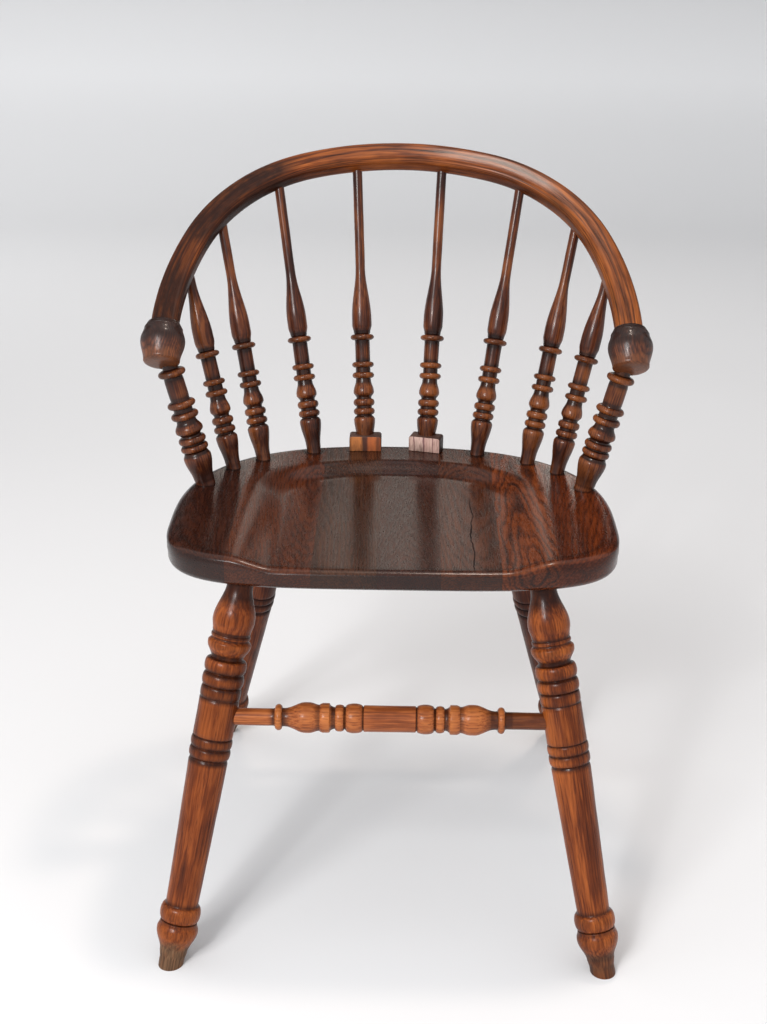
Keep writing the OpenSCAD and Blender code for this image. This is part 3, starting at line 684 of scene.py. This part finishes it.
# ---- Arm posts ----
# Stout turned oak posts from the seat's rim up into the hand knobs, glued at both ends.

def post_profile(length):
    return ([(-5, 0), (-5, 11), (4, 11)] + sweep(6, 11.4, 31, 15.7, 12) + sweep(32, 15.7, 38, 13.3, 6)
            + bead(39, 47, 11.7, 15.7) + bead(48, 56.5, 11.7, 15.7) + sweep(57.5, 11.1, 63.5, 15.7, 7)
            + sweep(65, 15.7, 75, 11.2, 8) + bead(77, 85.5, 11, 15.7) + [(86.5, 10.8), (89.5, 10.8)]
            + bead(90.2, 98.5, 11, 16) + [(99.5, 10.7), (104, 11), (122, 11), (126, 10.6)]
            + bead(127, 135, 11, 15.7) + [(136.2, 9), (length - 15, 9), (length - 15, 0)])


def dirty_foot(work, height, at_foot, above):
    """Dark old polish all over a turned piece, and more of it below a height."""
    wear_and_painted_light = work.verts.layers.float["wear_and_painted_light"]
    for v in work.verts:
        v[wear_and_painted_light] -= at_foot if v.co.z < height else above


sienna = oak("spindle oak", (0.215, 0.062, 0.017), (0.086, 0.020, 0.007), (0.025, 0.006, 0.003),
             ring_gap=2.6, ring_depth=0.3, wander=5, gloss=0.12, coat=0.32, rub=0.25, blotch=0.85)
foot_x, foot_y = rim(math.radians(post_turn), foot_in)
for hand, side in (("left", -1), ("right", 1)):
    start = Vector((side * foot_x, foot_y, seat_top))
    end = Vector((side * knob_x, arm_y, bow_z))
    post = turned(post_profile((end - start).length), 52, 24, side, 41.0 + 3 * side)
    dirty_foot(post, 38, 0.52, 0.28)
    set_between(post, start, end)
    finish_piece(post, f"arm_post_{hand}_turned", f"arm_post_{hand}", "oak_warm", sienna)


# ---- Spindles ----
# Eight turned oak spindles between the seat's rim and the bow, all to one pattern, with only
# the slender top longer towards the middle. The two middle ones are cut short on blocks.

def spindle_profile(length):
    return ([(-5, 0), (-5, 8.3), (3, 8.3)] + sweep(5, 8.6, 36, 12.6, 14) + [(38.6, 11.2), (40, 9.3)]
            + bead(41, 49, 9.3, 12.6, 8) + [(50.2, 9.3)] + bead(51.4, 60, 9.3, 12.6, 8)
            + sweep(61, 8.8, 67.5, 12.1, 7) + sweep(68.5, 12.1, 82.5, 8.9, 10)
            + bead(84.2, 91.6, 8.7, 13, 8) + [(93, 8.7), (96, 8.7)] + bead(97, 104, 8.7, 13, 8)
            + [(105.5, 8.8), (128, 8.8)] + bead(129.4, 136.6, 8.9, 14, 8) + sweep(138, 9.7, 148, 11.5, 8)
            + sweep(156, 11.5, 216, 5.6, 24) + [(length, 5.6), (length, 0)])


block_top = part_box("repair_block_left")[1].z / mm
bow_turns = (72.7, 53.9, 28.5, 7.9)
for index in range(8):
    # rank goes from 0 beside the arm post to 3 at the middle, on both sides.
    side = -1 if index < 4 else 1
    rank = index if index < 4 else 7 - index
    foot_x, foot_y = rim(math.radians(spindle_turns[rank]), foot_in)
    start = Vector((side * foot_x, foot_y, seat_top))
    end = bow_place(math.radians(bow_turns[rank]))
    end.x *= side
    profile = spindle_profile((end - start).length)
    spindle = turned(profile, 44, 20 + 3 * (index % 3), index * 1.3, 50.0 + index)
    dirty_foot(spindle, 40, 0.42, 0.16)
    set_between(spindle, start, end)
    if rank == 3:
        cut_off(spindle, (0, 0, (block_top - 0.5) * mm), (0, 0, 1))
    finish_piece(spindle, f"spindle_{index + 1}_turned", f"spindle_{index + 1}", "oak_red", sienna)


# ---- Repair blocks ----
# Two odd blocks of another wood under the middle spindles, let in when the spindles' feet
# broke. One is stained orange with a dark band, and one is bare, pale and streaked.

block_wide, block_deep, block_tall = 38, 19, 18.5


def striped(name, stripes, gloss):
    """Flat-sawn offcut: bands of colour across the block, each a place from 0 to 1 and a colour."""
    material = bpy.data.materials.new(name)
    material.use_nodes = True
    tree = material.node_tree
    shader = tree.nodes["Principled BSDF"]
    place = link(tree, "Attribute", out=1, attribute_name="grain")
    wear_and_painted_light = link(tree, "Attribute", out=2, attribute_name="wear_and_painted_light")
    warp = grainy(tree, place, 150, 45, 2)
    x = link(tree, "SeparateXYZ", [place])
    half = block_wide / 2 * mm
    across = add(tree, span(tree, x, -half, half), span(tree, warp, 0.2, 0.8, -0.035, 0.035))
    bands = link(tree, "ValToRGB", [across])
    ramp = bands.node.color_ramp
    for index, (at, tone) in enumerate(stripes):
        stop = ramp.elements[index] if index < 2 else ramp.elements.new(at)
        stop.position, stop.color = at, (*tone, 1)
    fleck = span(tree, grainy(tree, place, 900, 90, 2), 0.52, 0.7, 0, 0.55)
    colour = blend_colour(tree, fleck, bands, (0.10, 0.035, 0.020, 1))
    dirt = span(tree, add(tree, wear_and_painted_light, span(tree, warp, 0.2, 0.8, -0.25, 0.25)), -0.05, -0.6)
    colour = blend_colour(tree, dirt, colour, (0.045, 0.022, 0.016, 1))
    tree.links.new(colour, shader.inputs["Base Color"])
    shader.inputs["Roughness"].default_value = 0.5
    shader.inputs["Specular IOR Level"].default_value = gloss
    return material


def block(hand, face_wood, slot, turn):
    """A sawn block with its two upper end edges rounded and all others eased, on the seat's rim. Its
    top is darker, and its right end is painted darker as shade."""
    node = f"repair_block_{hand}"
    low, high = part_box(node)
    work = bmesh.new()
    bmesh.ops.create_cube(work, size=1)
    bmesh.ops.scale(work, vec=(block_wide, block_deep, block_tall), verts=work.verts)
    upper = [e for e in work.edges if all(v.co.z > 0 for v in e.verts)]
    ends = [e for e in upper if abs(e.verts[0].co.x - e.verts[1].co.x) < 1]
    bmesh.ops.bevel(work, geom=ends, offset=3, offset_type="OFFSET", segments=5, profile=0.5,
                    affect="EDGES", material=-1)
    sharp = [e for e in work.edges if e.calc_face_angle() > 1.0]
    bmesh.ops.bevel(work, geom=sharp, offset=0.8, offset_type="OFFSET", segments=3, profile=0.5,
                    affect="EDGES", material=-1)
    bmesh.ops.triangulate(work, faces=[f for f in work.faces if len(f.verts) > 4])
    work.normal_update()
    grain = work.verts.layers.float_vector.new("grain")
    wear_and_painted_light = work.verts.layers.float.new("wear_and_painted_light")
    for v in work.verts:
        v[grain] = Vector((v.co.x, v.co.y + 60, v.co.z + 900)) * mm
        v[wear_and_painted_light] = -0.35 * ease((-v.co.z - 8) / 1.5) - 0.3 * ease((abs(v.co.x) - 17.5) / 1.5)
    # The top and the right end take the darker colour, which on the right end is painted shade.
    for face in work.faces:
        if face.normal.z > 0.35 or face.normal.x > 0.5:
            face.material_index = 1
    middle = (low + high) / 2 / mm
    seated = Matrix.Translation((middle.x, middle.y, seat_top + block_tall / 2))
    place = Matrix.Scale(mm, 4) @ seated @ Matrix.Rotation(turn, 4, "Z")
    bmesh.ops.transform(work, matrix=place, verts=work.verts)
    bmesh.ops.recalc_face_normals(work, faces=work.faces)
    finish_piece(work, f"{node}_cut", node, slot, face_wood, dark_top_and_shaded_end)


orange = striped("left block wood", ((0.0, (0.24, 0.085, 0.028)), (0.12, (0.46, 0.160, 0.045)),
                                     (0.36, (0.52, 0.180, 0.050)), (0.43, (0.070, 0.026, 0.018)),
                                     (0.54, (0.085, 0.028, 0.018)), (0.60, (0.42, 0.110, 0.035)),
                                     (0.80, (0.46, 0.125, 0.036)), (0.88, (0.16, 0.050, 0.022)),
                                     (1.0, (0.30, 0.080, 0.030))), 0.3)
pink = striped("right block wood", ((0.0, (0.50, 0.320, 0.270)), (0.15, (0.60, 0.400, 0.330)),
                                    (0.17, (0.16, 0.060, 0.070)), (0.20, (0.62, 0.420, 0.350)),
                                    (0.45, (0.64, 0.430, 0.360)), (0.48, (0.13, 0.050, 0.060)),
                                    (0.53, (0.52, 0.310, 0.260)), (0.75, (0.62, 0.410, 0.340)),
                                    (0.77, (0.18, 0.070, 0.075)), (0.80, (0.58, 0.370, 0.310)),
                                    (1.0, (0.54, 0.340, 0.290))), 0.25)
# Darker colour for the blocks' tops, and painted shade on their right ends.
dark_top_and_shaded_end = striped("block top and shaded end wood", ((0.0, (0.085, 0.045, 0.034)), (0.5, (0.060, 0.028, 0.020)),
                                    (1.0, (0.040, 0.018, 0.014))), 0.3)
block("left", orange, "oak_worn", 0)
block("right", pink, "oak_pale", math.radians(-15))


# ---- Floor, light and camera ----
# A plain pale floor that curves up into a wall, under soft light from all round. A key lamp stands
# in front on the left, and small warm lamps behind stand for windows that the varnish mirrors.

floor_half, floor_middle_y = 7, -3.6
curve_radius = 2.0
wall_height = 4
floor_work = bmesh.new()
bmesh.ops.create_grid(floor_work, x_segments=1, y_segments=1, size=floor_half)
bmesh.ops.translate(floor_work, vec=(0, floor_middle_y, 0), verts=floor_work.verts)
back_edge = [e for e in floor_work.edges if all(v.co.y > 0 for v in e.verts)]
rising = bmesh.ops.spin(floor_work, geom=back_edge, cent=(0, floor_half + floor_middle_y, curve_radius),
                        axis=(1, 0, 0), angle=math.pi / 2, steps=24)
edge = [e for e in rising["geom_last"] if isinstance(e, bmesh.types.BMEdge)]
wall = bmesh.ops.extrude_edge_only(floor_work, edges=edge)["geom"]
wall_top = [v for v in wall if isinstance(v, bmesh.types.BMVert)]
bmesh.ops.translate(floor_work, vec=(0, 0, wall_height), verts=wall_top)
for face in floor_work.faces:
    face.smooth = True


def matt(name, colour, gloss=0.5):
    material = bpy.data.materials.new(name)
    material.use_nodes = True
    shader = material.node_tree.nodes["Principled BSDF"]
    shader.inputs["Base Color"].default_value = (*colour, 1)
    shader.inputs["Roughness"].default_value = 0.9
    shader.inputs["Specular IOR Level"].default_value = gloss
    return material


floor = placed(floor_work, "floor", matt("floor paper", (0.83, 0.83, 0.835), 0.1))

# A dark upper wall, out of view, keeps the varnish from mirroring white from end to end.
shade_work = bmesh.new()
bmesh.ops.create_grid(shade_work, x_segments=1, y_segments=1, size=0.5)
bmesh.ops.scale(shade_work, vec=(13, 4, 1), verts=shade_work.verts)
upright = Matrix.Rotation(math.pi / 2, 3, "X")
bmesh.ops.rotate(shade_work, cent=(0, 0, 0), matrix=upright, verts=shade_work.verts)
bmesh.ops.translate(shade_work, vec=(0, 4.5, 3.3), verts=shade_work.verts)
upper_wall = placed(shade_work, "upper wall", matt("grey wall", (0.05, 0.05, 0.05)))

world = bpy.data.worlds.new("studio")
bpy.context.scene.world = world
world.use_nodes = True
daylight = world.node_tree.nodes["Background"]
daylight.inputs["Color"].default_value = (0.97, 0.98, 1.0, 1)
daylight.inputs["Strength"].default_value = 0.82


def lamp(name, place, aim, size, watts, colour=(1, 1, 1)):
    light = bpy.data.lights.new(name, "AREA")
    light.shape = "DISK"
    light.size = size
    light.energy = watts
    light.color = colour
    made = bpy.data.objects.new(name, light)
    bpy.context.scene.collection.objects.link(made)
    made.location = place
    made.rotation_euler = (Vector(aim) - Vector(place)).to_track_quat("-Z", "Y").to_euler()


chair_middle = (0, 0, 0.4)
window_warm = (1, 0.86, 0.76)
lamp("key lamp", (-1.25, -2.4, 2.2), (-0.1, 0, 0.4), 1.3, 58)
lamp("small key", (-1.0, -2.5, 2.0), chair_middle, 0.24, 14)
lamp("overhead lamp", (0.22, 0.38, 2.6), (0.1, 0.2, 0.7), 0.25, 11, (1, 0.85, 0.74))
lamp("middle window behind", (0.02, 3.1, 1.84), chair_middle, 0.6, 1.15, window_warm)
lamp("right window behind", (0.52, 3.1, 1.43), chair_middle, 0.32, 1.2, window_warm)
lamp("left window behind", (-0.5, 3.1, 1.43), chair_middle, 0.32, 0.6, window_warm)
lamp("wall lamp", (-1.8, 2.4, 1.7), (-1.3, 4.4, 0.8), 0.8, 11)

eye = bpy.data.cameras.new("camera")
eye.lens = 58.0
eye.sensor_width = 36
camera = bpy.data.objects.new("camera", eye)
bpy.context.scene.collection.objects.link(camera)
bpy.context.scene.camera = camera
eye_place = (0.015, -1.711, 1.105)
yaw, pitch, roll = math.radians(-0.89), math.radians(21.86), math.radians(0.52)
forward = Vector((math.sin(yaw) * math.cos(pitch), math.cos(yaw) * math.cos(pitch), -math.sin(pitch)))
level = Vector((math.cos(yaw), -math.sin(yaw), 0))
above = level.cross(forward)
right = level * math.cos(roll) + above * math.sin(roll)
top = above * math.cos(roll) - level * math.sin(roll)
facing = Matrix((right, top, -forward)).transposed().to_4x4()
camera.matrix_world = Matrix.Translation(eye_place) @ facing
bpy.context.scene.view_settings.view_transform = "Standard"
